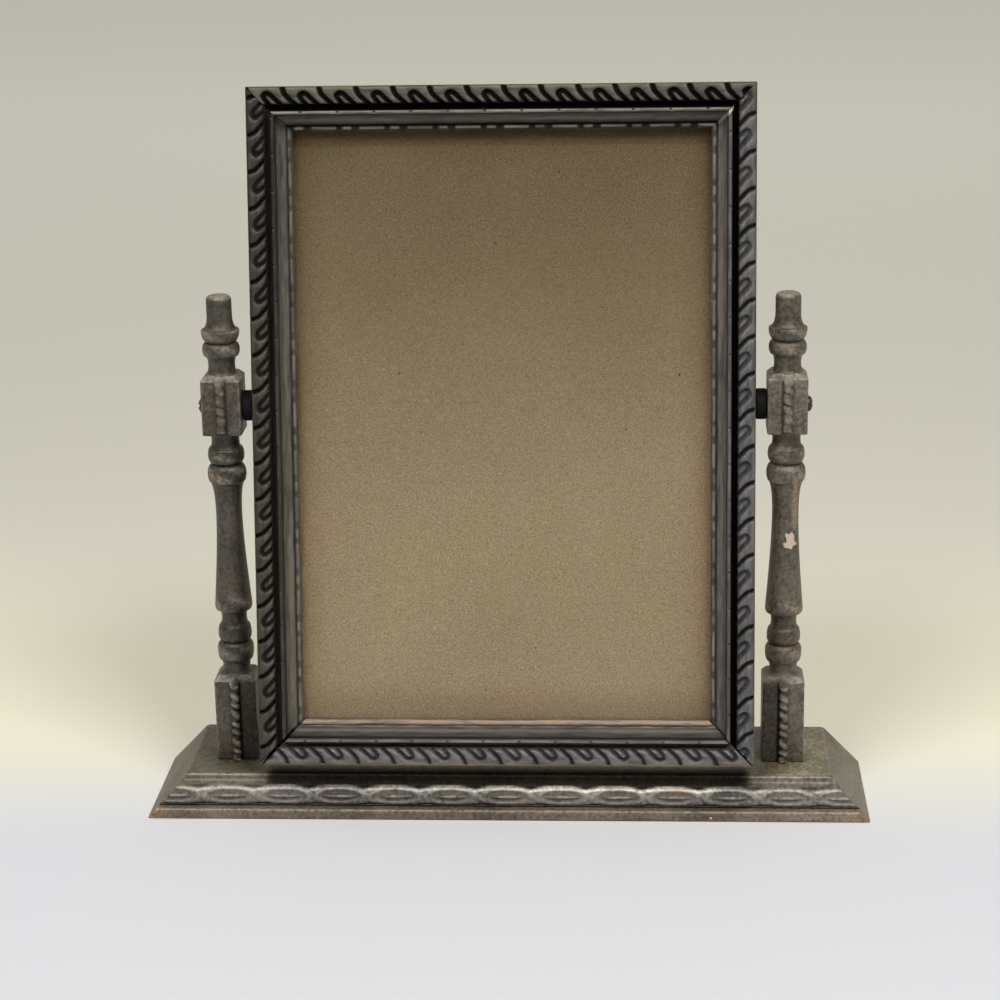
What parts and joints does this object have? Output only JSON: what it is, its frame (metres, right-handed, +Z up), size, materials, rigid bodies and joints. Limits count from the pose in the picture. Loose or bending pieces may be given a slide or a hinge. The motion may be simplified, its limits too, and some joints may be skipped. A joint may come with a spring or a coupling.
{
  "type": "tilting picture frame",
  "caption": "Wooden picture frame with carved moulding that swings on side screws between turned posts on a moulded base.",
  "frame": {"origin": "on the table under the base, midway between the two post axes", "axes": "+X to the right of a viewer in front, +Y away from the viewer, +Z up; the picture faces -Y"},
  "size_m": [0.2152, 0.0467, 0.2132],
  "materials": {
    "stand_paint": "old grey-brown metallic paint, worn at the arrises",
    "moulding_paint": "old grey-brown metallic paint over carving, dark in the hollows",
    "glass": "clear picture glass",
    "board": "raw brown chipboard",
    "steel": "dull tarnished steel",
    "spacer": "dark brown fibre, rough"
  },
  "bodies": {
    "stand": {"base": "stand_paint", "left_post": "stand_paint", "right_post": "stand_paint", "left_post_screw": "steel", "right_post_screw": "steel"},
    "swing_frame": {"top_rail": "moulding_paint", "bottom_rail": "moulding_paint", "left_stile": "moulding_paint", "right_stile": "moulding_paint", "glass_pane": "glass", "backing_board": "board", "left_pivot_screw": "steel", "right_pivot_screw": "steel", "left_spacer": "spacer", "right_spacer": "spacer", "top_first_nail": "steel", "top_second_nail": "steel", "right_first_nail": "steel", "right_second_nail": "steel", "bottom_first_nail": "steel", "bottom_second_nail": "steel", "left_first_nail": "steel", "left_second_nail": "steel", "top_first_brad": "steel", "top_second_brad": "steel", "right_first_brad": "steel", "right_second_brad": "steel", "bottom_first_brad": "steel", "bottom_second_brad": "steel", "left_first_brad": "steel", "left_second_brad": "steel"}
  },
  "joints": [
    {"name": "frame_swing", "type": "hinge", "parent": "stand", "child": "swing_frame", "pos_m": [0, 0, 0.12123], "axis": [1, 0, 0], "continuous": true}
  ]
}
